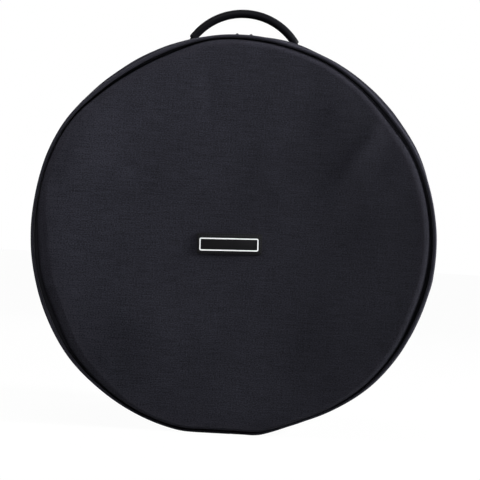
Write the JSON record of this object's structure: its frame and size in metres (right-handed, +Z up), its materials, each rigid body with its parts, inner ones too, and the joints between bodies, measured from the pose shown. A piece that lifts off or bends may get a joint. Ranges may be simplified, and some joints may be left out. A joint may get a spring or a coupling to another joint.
{
  "type": "floor tom bag",
  "caption": "Padded round drum bag with a zipped lid, piped seams and a moulded carrying handle, for a floor tom.",
  "frame": {"origin": "middle of the flat patch of the side wall that the bag rests on, opposite the handle", "axes": "+Z up towards the carrying handle, -Y out of the zipped lid along the drum's axis, +Y out of the base panel, +X to the right when the lid is seen"},
  "size_m": [0.458, 0.4524, 0.4999],
  "materials": {
    "cover": "matte",
    "foam": "matte",
    "lining": "matte",
    "piping": "matte",
    "webbing": "matte",
    "zip_tape": "matte",
    "zip_coil": "satin",
    "rubber": "matte",
    "metal": "satin"
  },
  "bodies": {
    "body": {"body_wall_cover": "cover", "body_wall_foam": "foam", "body_wall_lining": "lining", "base_cover": "cover", "base_foam": "foam", "base_lining": "lining", "base_piping": "piping", "base_binding": "webbing", "body_zip_tape": "zip_tape", "body_zip_coil": "zip_coil", "hinge_fabric": "cover", "handle_patch_left": "cover", "handle_patch_right": "cover", "handle_backing": "webbing"},
    "lid": {"lid_wall_cover": "cover", "lid_wall_foam": "foam", "lid_wall_lining": "lining", "lid_cover": "cover", "lid_foam": "foam", "lid_lining": "lining", "lid_piping": "piping", "lid_binding": "webbing", "lid_zip_tape": "zip_tape", "lid_zip_coil": "zip_coil", "badge": "rubber"},
    "slider_left": {"slider_left": "metal"},
    "slider_right": {"slider_right": "metal"},
    "tab_left": {"pull_tab_left": "metal"},
    "tab_right": {"pull_tab_right": "metal"},
    "handle": {"handle_grip": "rubber", "handle_strap": "webbing"}
  },
  "joints": [
    {"name": "lid_hinge", "type": "hinge", "parent": "body", "child": "lid", "pos_m": [0, -0.1388, 0], "axis": [1, 0, 0], "range_deg": [0, 170], "deforming": ["hinge_fabric"]},
    {"name": "zip_left", "type": "hinge", "parent": "body", "child": "slider_left", "pos_m": [0, -0.1388, 0.223], "axis": [0, -1, 0], "range_deg": [0, 151]},
    {"name": "zip_right", "type": "hinge", "parent": "body", "child": "slider_right", "pos_m": [0, -0.1388, 0.223], "axis": [0, 1, 0], "range_deg": [0, 151]},
    {"name": "tab_left_swing", "type": "hinge", "parent": "slider_left", "child": "tab_left", "pos_m": [-0.008, -0.1388, 0.45496], "axis": [0, 1, 0], "range_deg": [0, 150]},
    {"name": "tab_right_swing", "type": "hinge", "parent": "slider_right", "child": "tab_right", "pos_m": [0.008, -0.1388, 0.45496], "axis": [0, -1, 0], "range_deg": [0, 150]},
    {"name": "handle_swing", "type": "hinge", "parent": "body", "child": "handle", "pos_m": [0, 0, 0.43819], "axis": [1, 0, 0], "range_deg": [-65, 65], "deforming": ["handle_strap"]}
  ]
}
